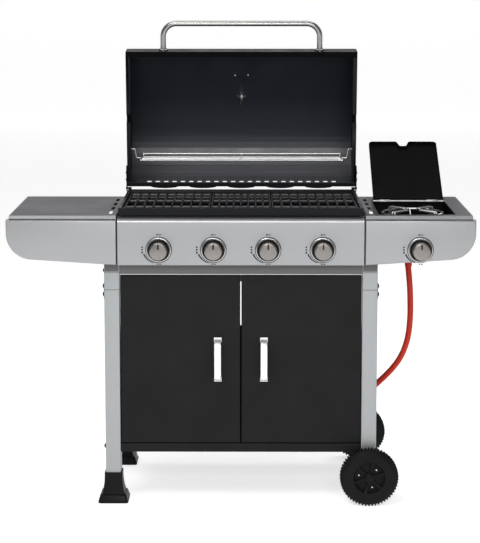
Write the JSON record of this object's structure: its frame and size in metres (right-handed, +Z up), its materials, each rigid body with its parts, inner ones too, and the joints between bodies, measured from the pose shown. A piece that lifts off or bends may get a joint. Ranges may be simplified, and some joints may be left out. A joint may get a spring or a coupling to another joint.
{
  "type": "gas barbecue grill",
  "caption": "Gas barbecue on a wheeled cart with an open hinged lid, cast grates, side table, side burner with lid, cupboard doors, control knobs and a gas hose.",
  "frame": {"origin": "centre of the grill's footprint box on the ground, measured without the hose and its regulator", "axes": "+Z up, the control panel and doors face -Y, the side burner is on the +X side"},
  "size_m": [1.22, 0.6292, 1.2712],
  "materials": {
    "steel_panel": "satin silver paint",
    "table_steel": "brushed",
    "inner_steel": "satin",
    "black_sheet": "semi-matt black paint",
    "black_enamel": "enamel",
    "cast_iron": "matt enamel",
    "chrome": "polished",
    "black_plastic": "moulded",
    "wheel_black": "moulded",
    "knob_nickel": "satin nickel plated",
    "brass": "satin",
    "satin_handle": "satin",
    "regulator_body": "cast",
    "hose_red": "matt"
  },
  "bodies": {
    "cart": {"leg_front_left": "steel_panel", "leg_front_right": "steel_panel", "leg_rear_left": "steel_panel", "leg_rear_right": "steel_panel", "foot_front_left": "black_plastic", "foot_rear_left": "black_plastic", "bottom_shelf": "black_sheet", "front_top_rail": "steel_panel", "rear_top_rail": "steel_panel", "rear_panel": "black_sheet", "axle": "inner_steel", "firebox": "black_enamel", "control_panel": "steel_panel", "burner_1": "inner_steel", "burner_2": "inner_steel", "burner_3": "inner_steel", "burner_4": "inner_steel", "heat_plate_1": "inner_steel", "heat_plate_2": "inner_steel", "heat_plate_3": "inner_steel", "heat_plate_4": "inner_steel", "grate_left": "cast_iron", "grate_middle": "cast_iron", "grate_right": "cast_iron", "gas_manifold": "brass", "left_table": "table_steel", "left_fascia": "steel_panel", "right_table": "table_steel", "right_fascia": "steel_panel", "side_burner_bowl": "black_enamel", "side_burner": "cast_iron", "pan_support": "chrome", "side_lid_rod": "chrome", "gas_hose": "hose_red", "regulator": "regulator_body"},
    "lid": {"lid_shell": "black_sheet", "lid_side_left": "black_sheet", "lid_side_right": "black_sheet", "lid_handle": "chrome", "thermometer": "chrome"},
    "rack": {"warming_rack": "chrome"},
    "side_lid": {"side_burner_lid": "black_sheet"},
    "left_door": {"left_door": "black_sheet", "left_door_handle": "satin_handle"},
    "right_door": {"right_door": "black_sheet", "right_door_handle": "satin_handle"},
    "front_wheel": {"front_wheel": "wheel_black"},
    "rear_wheel": {"rear_wheel": "wheel_black"},
    "grease_tray": {"grease_tray": "inner_steel"},
    "stem_1": {"knob_stem_1": "brass"},
    "knob_1": {"knob_1": "knob_nickel"},
    "stem_2": {"knob_stem_2": "brass"},
    "knob_2": {"knob_2": "knob_nickel"},
    "stem_3": {"knob_stem_3": "brass"},
    "knob_3": {"knob_3": "knob_nickel"},
    "stem_4": {"knob_stem_4": "brass"},
    "knob_4": {"knob_4": "knob_nickel"},
    "stem_5": {"knob_stem_5": "brass"},
    "knob_5": {"knob_5": "knob_nickel"}
  },
  "joints": [
    {"name": "lid_hinge", "type": "hinge", "parent": "cart", "child": "lid", "pos_m": [0, 0.12937, 0.798], "axis": [1, 0, 0], "range_deg": [0, 84.5]},
    {"name": "rack_swing", "type": "hinge", "parent": "lid", "child": "rack", "pos_m": [0, 0.18548, 0.90387], "axis": [1, 0, 0], "range_deg": [-84.5, 0]},
    {"name": "side_lid_hinge", "type": "hinge", "parent": "cart", "child": "side_lid", "pos_m": [0.46, 0.00336, 0.779], "axis": [1, 0, 0], "range_deg": [0, 144.5]},
    {"name": "left_door_hinge", "type": "hinge", "parent": "cart", "child": "left_door", "pos_m": [-0.308, -0.22063, 0.387], "axis": [0, 0, -1], "range_deg": [0, 105]},
    {"name": "right_door_hinge", "type": "hinge", "parent": "cart", "child": "right_door", "pos_m": [0.308, -0.22063, 0.387], "axis": [0, 0, 1], "range_deg": [0, 105]},
    {"name": "front_wheel_spin", "type": "hinge", "parent": "cart", "child": "front_wheel", "pos_m": [0.34, -0.25714, 0.0775], "axis": [0, 1, 0], "continuous": true},
    {"name": "rear_wheel_spin", "type": "hinge", "parent": "cart", "child": "rear_wheel", "pos_m": [0.34, 0.18186, 0.0775], "axis": [0, 1, 0], "continuous": true},
    {"name": "grease_tray_slide", "type": "slide", "parent": "cart", "child": "grease_tray", "axis": [0, 1, 0], "range_m": [0, 0.25]},
    {"name": "knob_1_push", "type": "slide", "parent": "cart", "child": "stem_1", "axis": [0, 1, 0], "range_m": [0, 0.003], "stiffness_N_per_m": 1500, "springref_m": -0.002},
    {"name": "knob_1_turn", "type": "hinge", "parent": "stem_1", "child": "knob_1", "pos_m": [-0.213, -0.29763, 0.69], "axis": [0, -1, 0], "range_deg": [0, 180]},
    {"name": "knob_2_push", "type": "slide", "parent": "cart", "child": "stem_2", "axis": [0, 1, 0], "range_m": [0, 0.003], "stiffness_N_per_m": 1500, "springref_m": -0.002},
    {"name": "knob_2_turn", "type": "hinge", "parent": "stem_2", "child": "knob_2", "pos_m": [-0.071, -0.29763, 0.69], "axis": [0, -1, 0], "range_deg": [0, 180]},
    {"name": "knob_3_push", "type": "slide", "parent": "cart", "child": "stem_3", "axis": [0, 1, 0], "range_m": [0, 0.003], "stiffness_N_per_m": 1500, "springref_m": -0.002},
    {"name": "knob_3_turn", "type": "hinge", "parent": "stem_3", "child": "knob_3", "pos_m": [0.071, -0.29763, 0.69], "axis": [0, -1, 0], "range_deg": [0, 180]},
    {"name": "knob_4_push", "type": "slide", "parent": "cart", "child": "stem_4", "axis": [0, 1, 0], "range_m": [0, 0.003], "stiffness_N_per_m": 1500, "springref_m": -0.002},
    {"name": "knob_4_turn", "type": "hinge", "parent": "stem_4", "child": "knob_4", "pos_m": [0.213, -0.29763, 0.69], "axis": [0, -1, 0], "range_deg": [0, 180]},
    {"name": "knob_5_push", "type": "slide", "parent": "cart", "child": "stem_5", "axis": [0, 1, 0], "range_m": [0, 0.003], "stiffness_N_per_m": 1500, "springref_m": -0.002},
    {"name": "knob_5_turn", "type": "hinge", "parent": "stem_5", "child": "knob_5", "pos_m": [0.466, -0.29763, 0.69], "axis": [0, -1, 0], "range_deg": [0, 180]}
  ],
  "couplings": [
    {"joint": "rack_swing", "follows": "lid_hinge", "ratio": -1}
  ]
}
